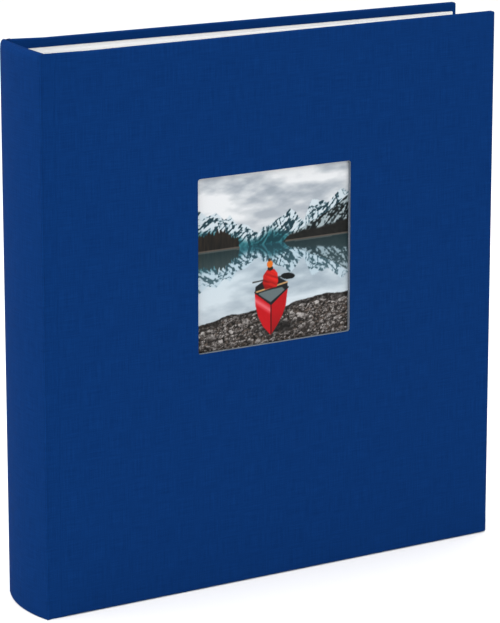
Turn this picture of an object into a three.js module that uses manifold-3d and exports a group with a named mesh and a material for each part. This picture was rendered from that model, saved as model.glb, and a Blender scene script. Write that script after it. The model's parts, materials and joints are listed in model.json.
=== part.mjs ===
// Scrapbook album, case bound in linen, standing upright on its tail edges.
// Millimetres, +Z up. The front cover faces -Y, the spine is at -X, the fore-edge at +X.
// The plan is drawn with X from the front board's joint edge and Y from the front cover's
// outer face; at the end the album is moved so that its box stands centred on the origin.
import * as THREE from 'three';
import { mergeVertices } from 'three/addons/utils/BufferGeometryUtils.js';
import Module from 'manifold-3d';

const wasm = await Module();
wasm.setup();

// Case
const COVER_HEIGHT = 310;
const COVER_WIDTH = 281.5;      // joint edge to fore-edge
const THICK_FORE_EDGE = 41.9;   // outer face to outer face at the fore-edge
const THICK_JOINT = 54.2;       // outer face to outer face at the joints
const CLOTH = 0.45;
const BOARD = 2.9;
const PASTEDOWN = 0.25;
const GAP = 0.05;               // glue line between layers
const TURN_IN = 15;             // cloth folded over onto the inside of a board
const PASTEDOWN_MARGIN = 5;     // at the head and tail
const PASTEDOWN_FORE_EDGE = 2.5;

// Picture window in the front board
const WINDOW = 98.5;
const WINDOW_X = 86.6;          // joint edge to the window's near side
const WINDOW_Z = 135.4;         // tail to the window's lower side
const WINDOW_RADIUS = 1.5;
const REBATE = 0.75;            // depth of the recess behind the window
const REBATE_MARGIN = 8;
const PRINT = 0.25;
const PRINT_CLEARANCE = 1;      // between the recess's edge and the print
const CARD_CLEARANCE = 0.5;

// Spine: an arc through the front corner, the crown and the back corner
const SPINE_FRONT = new THREE.Vector2(-8.4, 0);
const SPINE_BACK = new THREE.Vector2(-5.3, 52.4);
const SPINE_BULGE = 4.85;
const SPINE_LINER = 1.2;
const SPINE_HOLLOW = 0.4;
const SPINE_TURN_IN = 12;
const BACK_LINING = 0.25;
const LINING_INSET = 2;         // from the ends of the leaves
const GAUZE = 0.25;
const GAUZE_INSET = 15;
const TAPE = 0.5;
const TAPE_WIDTH = 14;
const TAPE_HEIGHTS = [75, 155, 235];
const ARC_STEPS = 20;
const CORNER_MARGIN = 0.4;      // inner layers stop short of the spine's corners
const BACK_MARGIN = 5;          // the bound back stops short of both boards
const JOINT_CLEARANCE = 0.3;    // either end of the cloth that bends at a joint

// Leaves
const SECTIONS = 12;
const LEAVES = 4;               // in one section
const LEAF = 0.38;
const LEAF_GAP = 0.26;
const CENTRE_GAP = 0.41;        // the glassine sheet lies in it
const GLASSINE = 0.08;
const PAGE_BOTTOM = 4;
const PAGE_HEIGHT = 301.2;
const PAGE_EDGE = 272;          // X of the leaves' fore-edge
const HINGE_X = 8;              // the leaves turn at the edge of the guards
const HINGE_FOLD = 4;           // scored strip between the guards and the stiff leaf
const FOLD_THICK = 0.35;
const FOLD_PLATE = 0.4;         // the folds are pasted to the guards by a common strip
const TONGUE = 1;               // thickness of a section at its root
const TONGUE_SPREAD = 1.2;      // and where its leaves part
const TONGUE_LENGTH = 10;
const SPREAD_LENGTH = 30;       // from here outwards the leaves lie parallel
const FLYLEAF = 0.35;
const FLYLEAF_GAP = 0.15;
const SLIT = 0.3;               // between two guards
const SLIT_END = 1;
const BAND = 1.6;               // head and tail bands
const BAND_INSET = 0.2;

const COVER = CLOTH + GAP + BOARD + GAP + CLOTH + GAP + PASTEDOWN;
const TAPER = Math.atan((THICK_JOINT - THICK_FORE_EDGE) / COVER_WIDTH);

const REACH = 1;                // how far a cutting solid passes the faces it opens
const CORNER_SEGMENTS = 3;      // in each rounded corner of the window
const MERGE_DISTANCE = 1e-5;

const BLUE = new THREE.Color('#0d3873');
const GREY_BOARD = new THREE.Color('#7e8288');
const WHITE_CARD = new THREE.Color('#efeeea');
const PAPER = new THREE.Color('#e9e8e4');
const GLASSINE_WHITE = new THREE.Color('#f3f4f2');
const COTTON = new THREE.Color('#ddd8c8');
const KRAFT = new THREE.Color('#a98a62');
const PICTURE_BLUE = new THREE.Color('#5d86ad');

const album = new THREE.Group();

// Solids

function asManifold(geometry) {
  const bare = geometry.clone();
  bare.deleteAttribute('normal');
  bare.deleteAttribute('uv');
  const merged = mergeVertices(bare, MERGE_DISTANCE);
  return new wasm.Manifold(new wasm.Mesh({
    numProp: 3,
    vertProperties: new Float32Array(merged.attributes.position.array),
    triVerts: new Uint32Array(merged.index.array),
  }));
}

function asGeometry(solid) {
  const mesh = solid.getMesh();
  const geometry = new THREE.BufferGeometry();
  geometry.setAttribute('position', new THREE.BufferAttribute(mesh.vertProperties, 3));
  geometry.setIndex(new THREE.BufferAttribute(mesh.triVerts, 1));
  geometry.computeVertexNormals();
  return geometry;
}

function box(x0, x1, y0, y1, z0, z1) {
  const geometry = new THREE.BoxGeometry(x1 - x0, y1 - y0, z1 - z0);
  return geometry.translate((x0 + x1) / 2, (y0 + y1) / 2, (z0 + z1) / 2);
}

// A plan outline raised from z0 to z1.
function upright(points, z0, z1) {
  const outline = new THREE.Shape(points);
  const geometry = new THREE.ExtrudeGeometry(outline, { depth: z1 - z0, bevelEnabled: false });
  return geometry.translate(0, 0, z0);
}

function cut(body, ...tools) {
  let solid = asManifold(body);
  for (const tool of tools) solid = solid.subtract(asManifold(tool));
  return asGeometry(solid);
}

function join(...bodies) {
  let solid = asManifold(bodies[0]);
  for (const body of bodies.slice(1)) solid = solid.add(asManifold(body));
  return asGeometry(solid);
}

function add(group, name, geometry, color, roughness) {
  const material = new THREE.MeshStandardMaterial({ color, roughness, metalness: 0 });
  const mesh = new THREE.Mesh(geometry, material);
  mesh.name = name;
  group.add(mesh);
}

// Covers: both are drawn as a front cover, joint edge at x = 0, outer face at y = 0

function roundedSquare(x, z, side, radius, y0, y1) {
  const s = new THREE.Shape();
  s.moveTo(x + radius, z);
  s.lineTo(x + side - radius, z);
  s.absarc(x + side - radius, z + radius, radius, -Math.PI / 2, 0);
  s.lineTo(x + side, z + side - radius);
  s.absarc(x + side - radius, z + side - radius, radius, 0, Math.PI / 2);
  s.lineTo(x + radius, z + side);
  s.absarc(x + radius, z + side - radius, radius, Math.PI / 2, Math.PI);
  s.lineTo(x, z + radius);
  s.absarc(x + radius, z + radius, radius, Math.PI, Math.PI * 1.5);
  const options = { depth: y1 - y0, bevelEnabled: false, curveSegments: CORNER_SEGMENTS };
  return new THREE.ExtrudeGeometry(s, options).rotateX(Math.PI / 2).translate(0, y1, 0);
}

function windowHole() {
  return roundedSquare(WINDOW_X, WINDOW_Z, WINDOW, WINDOW_RADIUS, -REACH, COVER);
}

const BOARD_FACE = CLOTH + GAP;
const BOARD_BACK = BOARD_FACE + BOARD;
const TURN_IN_FACE = BOARD_BACK + GAP + CLOTH;

function coverCloth(tools) {
  const wrap = box(0, COVER_WIDTH, 0, TURN_IN_FACE, 0, COVER_HEIGHT);
  const boardSpace = box(
    -REACH, COVER_WIDTH - CLOTH, CLOTH, BOARD_BACK + GAP, CLOTH, COVER_HEIGHT - CLOTH);
  const inside = box(
    -REACH, COVER_WIDTH - TURN_IN, BOARD_BACK, COVER, TURN_IN, COVER_HEIGHT - TURN_IN);
  return cut(wrap, boardSpace, inside, ...tools);
}

function board(tools) {
  const edge = CLOTH + GAP;
  const plain = box(
    GAP, COVER_WIDTH - edge, BOARD_FACE, BOARD_BACK, edge, COVER_HEIGHT - edge);
  return tools.length ? cut(plain, ...tools) : plain;
}

function pastedown() {
  const far = COVER_WIDTH - PASTEDOWN_FORE_EDGE;
  return box(
    GAP, far, TURN_IN_FACE + GAP, COVER,
    PASTEDOWN_MARGIN, COVER_HEIGHT - PASTEDOWN_MARGIN);
}

function rebateBox(margin, y0, y1) {
  const out = REBATE_MARGIN - margin;
  return box(
    WINDOW_X - out, WINDOW_X + WINDOW + out, y0, y1, WINDOW_Z - out, WINDOW_Z + WINDOW + out);
}

function addFrontCover() {
  const floor = BOARD_BACK - REBATE;
  const rebate = rebateBox(0, floor, COVER);
  const printBack = floor + GAP + PRINT;
  add(album, 'front_cover_cloth', coverCloth([windowHole()]), BLUE, 0.85);
  add(album, 'front_board', board([windowHole(), rebate]), GREY_BOARD, 0.9);
  add(album, 'front_pastedown', pastedown(), WHITE_CARD, 0.8);
  add(album, 'window_print',
    rebateBox(PRINT_CLEARANCE, floor + GAP, printBack), PICTURE_BLUE, 0.4);
  add(album, 'window_backing_card',
    rebateBox(CARD_CLEARANCE, printBack + GAP, BOARD_BACK), PAPER, 0.9);
}

// The back cover is the front cover seen in a mirror and turned by the taper.
function addBackCover() {
  const turned = new THREE.Group();
  turned.position.set(0, THICK_JOINT, 0);
  turned.rotation.z = -TAPER;
  const mirror = (geometry) => {
    const flipped = geometry.clone().rotateX(Math.PI);
    return flipped.translate(0, 0, COVER_HEIGHT);
  };
  add(turned, 'back_cover_cloth', mirror(coverCloth([])), BLUE, 0.85);
  add(turned, 'back_board', mirror(board([])), GREY_BOARD, 0.9);
  add(turned, 'back_pastedown', mirror(pastedown()), WHITE_CARD, 0.8);
  album.add(turned);
}

// Spine

const chord = SPINE_BACK.clone().sub(SPINE_FRONT);
const spineRadius = (chord.length() ** 2 / 4 + SPINE_BULGE ** 2) / (2 * SPINE_BULGE);
const inward = new THREE.Vector2(chord.y, -chord.x).normalize();
const spineCentre = SPINE_FRONT.clone().addScaledVector(chord, 0.5)
  .addScaledVector(inward, spineRadius - SPINE_BULGE);
const angleOf = (point) => Math.atan2(point.y - spineCentre.y, point.x - spineCentre.x);
const FRONT_ANGLE = angleOf(SPINE_FRONT) + Math.PI * 2;
const BACK_ANGLE = angleOf(SPINE_BACK);

function onSpine(radius, angle) {
  return new THREE.Vector2(
    spineCentre.x + radius * Math.cos(angle), spineCentre.y + radius * Math.sin(angle));
}

// Points of an arc from the front end to the back end, drawn in from each end by a margin.
function spineArc(radius, margin, steps = ARC_STEPS) {
  const trim = margin / radius;
  const points = [];
  for (let i = 0; i <= steps; i += 1) {
    const t = i / steps;
    points.push(onSpine(radius, (FRONT_ANGLE - trim) * (1 - t) + (BACK_ANGLE + trim) * t));
  }
  return points;
}

// A curved plate between two radii, as wide as the arc less a margin at each end.
function spinePlate(outer, thick, margin, z0, z1) {
  const near = spineArc(outer - thick, margin).reverse();
  return upright([...spineArc(outer, margin), ...near], z0, z1);
}

const LINER_OUTER = spineRadius - CLOTH - GAP;
const LINER_INNER = LINER_OUTER - SPINE_LINER;
const LINING_OUTER = LINER_INNER - GAP - CLOTH - SPINE_HOLLOW;
const GAUZE_OUTER = LINING_OUTER - BACK_LINING - GAP;
const TAPE_OUTER = GAUZE_OUTER - GAUZE - GAP;
const BACK_RADIUS = TAPE_OUTER - TAPE - GAP;

function spineCloth() {
  const turnIn = LINER_INNER - GAP;
  const deep = spineRadius - turnIn + CLOTH;
  const outer = spinePlate(spineRadius, CLOTH, 0, 0, COVER_HEIGHT);
  const ends = [[0, CLOTH, 0, SPINE_TURN_IN],
    [COVER_HEIGHT - CLOTH, COVER_HEIGHT, COVER_HEIGHT - SPINE_TURN_IN, COVER_HEIGHT]];
  const parts = ends.flatMap(([cap0, cap1, flap0, flap1]) => [
    spinePlate(spineRadius, deep, CORNER_MARGIN, cap0, cap1),
    spinePlate(turnIn, CLOTH, CORNER_MARGIN, flap0, flap1),
  ]);
  return join(outer, ...parts);
}

function addSpine() {
  const edge = CLOTH + GAP;
  const low = PAGE_BOTTOM;
  const top = PAGE_BOTTOM + PAGE_HEIGHT;
  add(album, 'spine_cloth', spineCloth(), BLUE, 0.85);
  add(album, 'spine_liner',
    spinePlate(LINER_OUTER, SPINE_LINER, CORNER_MARGIN, edge, COVER_HEIGHT - edge),
    GREY_BOARD, 0.9);
  add(album, 'spine_lining_paper',
    spinePlate(LINING_OUTER, BACK_LINING, BACK_MARGIN, low + LINING_INSET, top - LINING_INSET),
    KRAFT, 0.9);
  add(album, 'spine_gauze',
    spinePlate(GAUZE_OUTER, GAUZE, BACK_MARGIN, low + GAUZE_INSET, top - GAUZE_INSET),
    COTTON, 0.9);
  TAPE_HEIGHTS.forEach((height, i) => {
    const z0 = height - TAPE_WIDTH / 2;
    add(album, `sewing_tape_${i + 1}`,
      spinePlate(TAPE_OUTER, TAPE, BACK_MARGIN, z0, z0 + TAPE_WIDTH), COTTON, 0.9);
  });
}

// Cloth that bends when a cover opens: a flat strip from a spine corner to a board's edge.
function jointStrip(from, to) {
  const along = to.clone().sub(from).normalize();
  const inside = new THREE.Vector2(along.y, -along.x)
    .multiplyScalar(from.y < THICK_JOINT / 2 ? -CLOTH : CLOTH);
  const a = from.clone().addScaledVector(along, CLOTH + JOINT_CLEARANCE);
  const b = to.clone().addScaledVector(along, -JOINT_CLEARANCE);
  const points = [a, b, b.clone().add(inside), a.clone().add(inside)];
  if (THREE.ShapeUtils.isClockWise(points)) points.reverse();
  return upright(points, CLOTH, COVER_HEIGHT - CLOTH);
}

function addJoints() {
  const front = jointStrip(SPINE_FRONT, new THREE.Vector2(0, 0));
  const back = jointStrip(SPINE_BACK, new THREE.Vector2(0, THICK_JOINT));
  add(album, 'front_joint_cloth', front, BLUE, 0.85);
  add(album, 'back_joint_cloth', back, BLUE, 0.85);
}

// Book block. The sections fan from the front cover's direction to the back cover's.

const innerFront = COVER;
const innerBack = THICK_JOINT - HINGE_X * Math.tan(TAPER) - COVER / Math.cos(TAPER);
const FIRST_LEAF = innerFront + 2 * FLYLEAF_GAP + FLYLEAF;
const LAST_LEAF = innerBack - 2 * FLYLEAF_GAP - FLYLEAF;
const ROOT_PITCH = (LAST_LEAF - FIRST_LEAF) / SECTIONS;
const SECTION_THICK = LEAVES * LEAF + (LEAVES - 2) * LEAF_GAP + CENTRE_GAP;
const LEAF_LENGTH = PAGE_EDGE - HINGE_X;
const FRONT_FLYLEAF_Y = innerFront + FLYLEAF_GAP + FLYLEAF / 2;
const BACK_FLYLEAF_Y = innerBack - FLYLEAF_GAP - FLYLEAF / 2;

const rootOf = (k) => FIRST_LEAF + (k + 0.5) * ROOT_PITCH;
const slantOf = (k) => -TAPER * (k + 0.5) / SECTIONS;

// Middle of a leaf across the section, for leaf i of the section.
function leafOffset(i) {
  const half = LEAVES / 2;
  const spare = CENTRE_GAP - LEAF_GAP;
  return (i - half + 0.5) * (LEAF + LEAF_GAP) + (i < half ? -spare / 2 : spare / 2);
}

// Section drawn along +X from its hinge: a gathered tongue that opens into four leaves.
function sectionOutline() {
  const half = LEAVES / 2;
  const gathered = (edge) => new THREE.Vector2(TONGUE_LENGTH, edge / half * TONGUE_SPREAD / 2);
  const points = [new THREE.Vector2(HINGE_FOLD, TONGUE / 2)];
  points.push(new THREE.Vector2(HINGE_FOLD, -TONGUE / 2), gathered(-half));
  for (let i = 0; i < LEAVES; i += 1) {
    const lower = leafOffset(i) - LEAF / 2;
    const upper = leafOffset(i) + LEAF / 2;
    points.push(new THREE.Vector2(SPREAD_LENGTH, lower), new THREE.Vector2(LEAF_LENGTH, lower));
    points.push(new THREE.Vector2(LEAF_LENGTH, upper), new THREE.Vector2(SPREAD_LENGTH, upper));
    points.push(gathered(i + 1 - half));
  }
  return points;
}

function leafBox(from, middle, thick) {
  return box(
    from, LEAF_LENGTH, middle - thick / 2, middle + thick / 2,
    PAGE_BOTTOM, PAGE_BOTTOM + PAGE_HEIGHT);
}

// Everything in it turns about Z at the guards' edge.
function leafGroup(y, slant) {
  const group = new THREE.Group();
  group.position.set(HINGE_X, y, 0);
  group.rotation.z = slant;
  album.add(group);
  return group;
}

function addLeaves() {
  const outline = sectionOutline();
  for (let k = 0; k < SECTIONS; k += 1) {
    const number = String(k + 1).padStart(2, '0');
    const group = leafGroup(rootOf(k), slantOf(k));
    add(group, `section_${number}`,
      upright(outline, PAGE_BOTTOM, PAGE_BOTTOM + PAGE_HEIGHT), PAPER, 0.9);
    add(group, `glassine_${number}`, leafBox(SPREAD_LENGTH, 0, GLASSINE), GLASSINE_WHITE, 0.5);
  }
  const front = leafGroup(FRONT_FLYLEAF_Y, 0);
  add(front, 'front_flyleaf', leafBox(HINGE_FOLD, 0, FLYLEAF), WHITE_CARD, 0.8);
  const back = leafGroup(BACK_FLYLEAF_Y, -TAPER);
  add(back, 'back_flyleaf', leafBox(HINGE_FOLD, 0, FLYLEAF), WHITE_CARD, 0.8);
}

// Guards: strips between the sections, glued to the back, with a slit at each section.
function guardOutline() {
  const right = HINGE_X - FOLD_PLATE - 2 * GAP;
  const points = spineArc(BACK_RADIUS, BACK_MARGIN);
  points.push(new THREE.Vector2(right, BACK_FLYLEAF_Y));
  for (let k = SECTIONS - 1; k >= 0; k -= 1) {
    const y = rootOf(k);
    points.push(new THREE.Vector2(right, y + SLIT / 2), new THREE.Vector2(SLIT_END, y + SLIT / 2));
    points.push(new THREE.Vector2(SLIT_END, y - SLIT / 2), new THREE.Vector2(right, y - SLIT / 2));
  }
  points.push(new THREE.Vector2(right, FRONT_FLYLEAF_Y));
  return points.reverse();
}

// Scored folds that the leaves bend at, one for each section and flyleaf.
function foldOutline() {
  const x0 = HINGE_X - FOLD_PLATE - GAP;
  const x1 = HINGE_X - GAP;
  const tip = HINGE_X + HINGE_FOLD - GAP;
  const roots = [[FRONT_FLYLEAF_Y, 0]];
  for (let k = 0; k < SECTIONS; k += 1) roots.push([rootOf(k), slantOf(k)]);
  roots.push([BACK_FLYLEAF_Y, -TAPER]);
  const points = [new THREE.Vector2(x0, BACK_FLYLEAF_Y), new THREE.Vector2(x0, FRONT_FLYLEAF_Y)];
  for (const [y, slant] of roots) {
    const drop = (tip - x1) * Math.tan(slant);
    points.push(new THREE.Vector2(x1, y - FOLD_THICK / 2));
    points.push(new THREE.Vector2(tip, y + drop - FOLD_THICK / 2));
    points.push(new THREE.Vector2(tip, y + drop + FOLD_THICK / 2));
    points.push(new THREE.Vector2(x1, y + FOLD_THICK / 2));
  }
  return points;
}

function addBlock() {
  const top = PAGE_BOTTOM + PAGE_HEIGHT;
  add(album, 'guard_block', upright(guardOutline(), PAGE_BOTTOM, top), PAPER, 0.9);
  add(album, 'leaf_hinge_folds', upright(foldOutline(), PAGE_BOTTOM, top), PAPER, 0.9);
  const outer = BACK_RADIUS - BAND_INSET;
  add(album, 'head_band',
    spinePlate(outer, BAND, BACK_MARGIN, top + 2 * GAP, top + 2 * GAP + BAND), PICTURE_BLUE, 0.6);
  add(album, 'tail_band',
    spinePlate(outer, BAND, BACK_MARGIN, PAGE_BOTTOM - 2 * GAP - BAND, PAGE_BOTTOM - 2 * GAP),
    PICTURE_BLUE, 0.6);
}

addFrontCover();
addBackCover();
addSpine();
addJoints();
addBlock();
addLeaves();

// The origin is the middle of the box's bottom.
album.updateMatrixWorld(true);
const bounds = new THREE.Box3().setFromObject(album, true);
const middle = bounds.getCenter(new THREE.Vector3());
album.position.set(-middle.x, -middle.y, -bounds.min.z);

export default album;
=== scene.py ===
"""Looks of the scrapbook album: linen case, window print, leaves, endpapers and light."""
import json
import math

import bmesh
import bpy
import numpy as np
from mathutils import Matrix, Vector


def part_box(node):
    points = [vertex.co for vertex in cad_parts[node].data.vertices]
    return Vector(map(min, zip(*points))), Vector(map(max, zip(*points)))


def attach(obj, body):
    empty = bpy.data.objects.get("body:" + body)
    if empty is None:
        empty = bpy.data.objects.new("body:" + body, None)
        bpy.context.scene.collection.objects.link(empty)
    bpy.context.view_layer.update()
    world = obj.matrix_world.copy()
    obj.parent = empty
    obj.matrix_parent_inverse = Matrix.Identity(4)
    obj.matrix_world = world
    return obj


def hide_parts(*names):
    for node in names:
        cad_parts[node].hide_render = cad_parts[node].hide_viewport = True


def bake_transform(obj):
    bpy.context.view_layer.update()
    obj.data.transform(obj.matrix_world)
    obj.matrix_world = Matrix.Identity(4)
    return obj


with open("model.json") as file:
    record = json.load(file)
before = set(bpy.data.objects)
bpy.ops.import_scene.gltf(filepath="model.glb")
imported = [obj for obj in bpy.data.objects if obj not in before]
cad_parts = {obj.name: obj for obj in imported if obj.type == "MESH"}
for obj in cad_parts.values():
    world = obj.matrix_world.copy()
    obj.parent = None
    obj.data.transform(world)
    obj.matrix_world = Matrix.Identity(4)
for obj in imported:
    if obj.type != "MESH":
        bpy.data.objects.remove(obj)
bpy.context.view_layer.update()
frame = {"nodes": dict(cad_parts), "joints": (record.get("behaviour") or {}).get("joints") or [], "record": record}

MM = 0.001

# ------------------------ the frame

front_lo, front_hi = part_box("front_cover_cloth")
back_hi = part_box("back_cover_cloth")[1]
pastedown_lo, pastedown_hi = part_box("front_pastedown")
JOINTS = {j["name"]: j for j in frame["joints"]}
MOUNTS = {m["name"]: m for m in frame["record"]["mounts"]}

JOINT_X = front_lo.x                      # both boards start here
FRONT_Y = front_lo.y                      # outer face of the front cover
BACK_Y = back_hi.y                        # outer face of the back cover, at its joint
COVER_W = front_hi.x - front_lo.x
COVER_H = front_hi.z
COVER_T = front_hi.y - front_lo.y         # board with cloth on both sides
TAPER = math.asin(MOUNTS["back_cover_face"]["axis"][0])
CLOTH = 0.45 * MM


def on_front(x, y, z):
    """Cover coordinates, x from the joint edge and y inwards, to the row frame."""
    return JOINT_X + x, FRONT_Y + y, z


def on_back(x, y, z):
    c, s = math.cos(TAPER), math.sin(TAPER)
    return JOINT_X + x * c - y * s, BACK_Y - x * s - y * c, z


# ------------------------ camera

def make_camera():
    data = bpy.data.cameras.new("camera")
    camera = bpy.data.objects.new("camera", data)
    bpy.context.collection.objects.link(camera)
    camera.location = (-0.8555, -1.4301, 0.5846)
    camera.rotation_euler = (math.radians(90 - 12.61), 0, math.radians(-30.91))
    data.sensor_width = 36
    data.lens = 176.8
    data.shift_y = -0.179
    bpy.context.scene.camera = camera


make_camera()


# ------------------------ node materials

class Surface:
    """A material whose nodes are made by short calls; numbers go straight on the sockets."""

    def __init__(self, name, color, roughness, **sockets):
        self.material = bpy.data.materials.new(name)
        self.material.use_nodes = True
        self.tree = self.material.node_tree
        self.shader = self.tree.nodes["Principled BSDF"]
        self.set(self.shader, "Base Color", (*color, 1) if isinstance(color, tuple) else color)
        self.set(self.shader, "Roughness", roughness)
        for socket, value in sockets.items():
            self.set(self.shader, socket.replace("_", " "), value)

    def set(self, node, socket, value):
        target = node.inputs[socket]
        if isinstance(value, bpy.types.NodeSocket):
            self.tree.links.new(value, target)
        else:
            target.default_value = value

    def add(self, kind, out=0, options=None, **sockets):
        node = self.tree.nodes.new("ShaderNode" + kind)
        for option, value in (options or {}).items():
            setattr(node, option, value)
        for socket, value in sockets.items():
            key = int(socket[1:]) if socket[0] == "i" and socket[1:].isdigit() else socket
            self.set(node, key, value)
        return node.outputs[out]

    def math(self, operation, a, b=0.0, c=0.0):
        return self.add("Math", options={"operation": operation}, i0=a, i1=b, i2=c)

    def noise(self, vector, scale, detail=3.0, roughness=0.55):
        return self.add("TexNoise", Vector=vector, Scale=scale, Detail=detail,
                        Roughness=roughness)

    def stretch(self, vector, x, y, z):
        return self.add("Mapping", Vector=vector, Scale=(x, y, z))

    def ramp(self, factor, stops):
        """A colour ramp: stops are (position, (r, g, b)) in linear colour."""
        output = self.add("ValToRGB", Fac=factor)
        elements = output.node.color_ramp.elements
        while len(elements) < len(stops):
            elements.new(0.5)
        for element, (position, color) in zip(elements, stops):
            element.position = position
            element.color = (*color, 1)
        return output

    def mix(self, factor, a, b):
        node = self.tree.nodes.new("ShaderNodeMix")
        node.data_type = "RGBA"
        for socket, value in ((0, factor), (6, a), (7, b)):
            self.set(node, socket, (*value, 1) if isinstance(value, tuple) else value)
        return node.outputs[2]

    def base(self, color):
        self.set(self.shader, "Base Color", color)

    def bump(self, height, distance, strength=1.0):
        normal = self.add("Bump", Height=height, Distance=distance, Strength=strength)
        self.set(self.shader, "Normal", normal)


def linen():
    """Book linen: plain weave, slubbed threads, slightly uneven dye, and painted shade in the hollows between
    threads.
    """
    s = Surface("linen", (0.002, 0.03, 0.13), 0.95, Specular_IOR_Level=0.015)
    pitch = 0.46                                     # millimetres between threads
    place = s.add("Attribute", out=1, options={"attribute_name": "cloth_mm"})
    wander = s.noise(place, 0.5, 2.0)
    xyz = s.add("SeparateXYZ", Vector=place)
    parts = xyz.node.outputs
    u = s.math("ADD", s.math("DIVIDE", parts[0], pitch), wander)
    v = s.math("SUBTRACT", s.math("DIVIDE", parts[1], pitch), wander)
    wave_u = s.math("SINE", s.math("MULTIPLY", u, math.pi))
    wave_v = s.math("SINE", s.math("MULTIPLY", v, math.pi))
    warp, weft = s.math("ABSOLUTE", wave_u), s.math("ABSOLUTE", wave_v)
    over = s.math("GREATER_THAN", s.math("MULTIPLY", wave_u, wave_v), 0.0)
    under = s.math("SUBTRACT", 1.0, over)
    slub_warp = s.noise(s.stretch(place, 2.0, 0.07, 1), 1.0, 2.0)
    slub_weft = s.noise(s.stretch(place, 0.07, 2.0, 1), 1.0, 2.0)
    high_warp = s.math("MULTIPLY_ADD", s.math("MULTIPLY", over, weft), 0.65, 0.35)
    high_weft = s.math("MULTIPLY_ADD", s.math("MULTIPLY", under, warp), 0.65, 0.35)
    body_warp = s.math("MULTIPLY", s.math("MULTIPLY", warp, high_warp),
                       s.math("ADD", slub_warp, 0.5))
    body_weft = s.math("MULTIPLY", s.math("MULTIPLY", weft, high_weft),
                       s.math("ADD", slub_weft, 0.5))
    height = s.math("MAXIMUM", body_warp, body_weft)
    dye = s.math("MULTIPLY", s.math("ADD", slub_warp, slub_weft), 0.5)
    # the tone follows the weave's height, so low points between threads get painted shade; the slub share is
    # uneven dye
    tone = s.math("MULTIPLY_ADD", height, 0.45, s.math("MULTIPLY", dye, 0.55))
    color = s.ramp(tone, [(0.25, (0.0012, 0.0135, 0.068)), (0.55, (0.0022, 0.0225, 0.105)),
                          (0.8, (0.0036, 0.033, 0.142))])
    s.base(color)
    s.bump(height, 0.07 * MM, 0.8)
    return s.material


def paper(name, color, fibre=0.05, roughness=0.85):
    """Uncoated card: faint fibre mottling."""
    s = Surface(name, color, roughness, Specular_IOR_Level=0.2)
    place = s.add("TexCoord", out=3)
    mottle = s.noise(place, 900.0, 4.0)
    cloud = s.noise(place, 40.0, 2.0)
    tone = s.math("MULTIPLY_ADD", s.math("ADD", mottle, cloud), fibre, 1 - fibre)
    shade = tuple(c * 0.93 for c in color)
    s.base(s.mix(tone, shade, color))
    s.bump(mottle, 0.03 * MM, 0.4)
    return s.material


def grey_board():
    """Raw board: grey pulp with darker and lighter fibres, pressed in layers."""
    s = Surface("grey_board", (0.3, 0.32, 0.35), 0.9, Specular_IOR_Level=0.15)
    place = s.add("TexCoord", out=3)
    layers = s.noise(s.stretch(place, 120, 2600, 120), 1.0, 4.0)
    fibres = s.noise(place, 1500.0, 3.0)
    tone = s.math("MULTIPLY_ADD", layers, 0.6, s.math("MULTIPLY", fibres, 0.4))
    s.base(s.ramp(tone, [
        (0.3, (0.06, 0.075, 0.10)), (0.5, (0.13, 0.155, 0.19)), (0.7, (0.24, 0.26, 0.29))]))
    s.bump(tone, 0.1 * MM, 0.6)
    return s.material


def glassine():
    """Translucent interleaf with a fine pebbled emboss."""
    s = Surface("glassine", (0.90, 0.91, 0.90), 0.35, Alpha=0.55)
    place = s.add("TexCoord", out=3)
    pebble = s.add("TexVoronoi", out=0, Vector=place, Scale=450.0)
    s.bump(pebble, 0.05 * MM, 0.6)
    tint = s.noise(place, 30.0, 2.0)
    s.base(s.mix(tint, (0.86, 0.87, 0.85), (0.94, 0.95, 0.94)))
    return s.material


def print_surface():
    """Photographic print: the painted picture under a satin coat with a fine grain."""
    s = Surface("window_print", (0.5, 0.5, 0.5), 0.5, Specular_IOR_Level=0.1)
    picture = s.add("Attribute", options={"attribute_name": "picture"})
    place = s.add("TexCoord", out=3)
    grain = s.noise(place, 2500.0, 2.0)
    soft = s.math("MULTIPLY_ADD", grain, 0.12, 0.56)
    s.base(s.add(
        "VectorMath", options={"operation": "SCALE"}, i0=picture, Scale=soft))
    s.bump(grain, 0.01 * MM, 0.3)
    return s.material


def woven(name, color, pitch, depth):
    """Cotton tape or gauze: open weave in the row's coordinates, pitch in metres, with painted shade where the
    weave sinks between threads.
    """
    s = Surface(name, color, 0.9, Specular_IOR_Level=0.15)
    place = s.add("TexCoord", out=3)
    parts = s.add("SeparateXYZ", Vector=place).node.outputs
    waves = [s.math("ABSOLUTE", s.math("SINE", s.math("MULTIPLY", p, math.pi / pitch)))
             for p in (parts[1], parts[2])]
    height = s.math("MAXIMUM", *waves)
    # dark is the cloth's own colour in painted shade, laid on the weave's low points
    dark = tuple(c * depth for c in color)
    s.base(s.mix(height, dark, color))
    s.bump(height, 0.15 * MM, 0.8)
    return s.material


def band_cloth():
    """Head band: two thread colours wound in turn across the bead."""
    s = Surface("band_cloth", (0.5, 0.5, 0.5), 0.6, Sheen_Weight=0.2)
    place = s.add("TexCoord", out=3)
    across = s.add("SeparateXYZ", Vector=place).node.outputs[1]
    stripe = s.math("SINE", s.math("MULTIPLY", across, 2 * math.pi / (2.4 * MM)))
    thread = s.math("SINE", s.math("MULTIPLY", across, 2 * math.pi / (0.4 * MM)))
    choose = s.math("GREATER_THAN", stripe, 0.0)
    s.base(s.mix(choose, (0.75, 0.74, 0.68), (0.02, 0.08, 0.26)))
    s.bump(thread, 0.1 * MM, 0.8)
    return s.material


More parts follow.
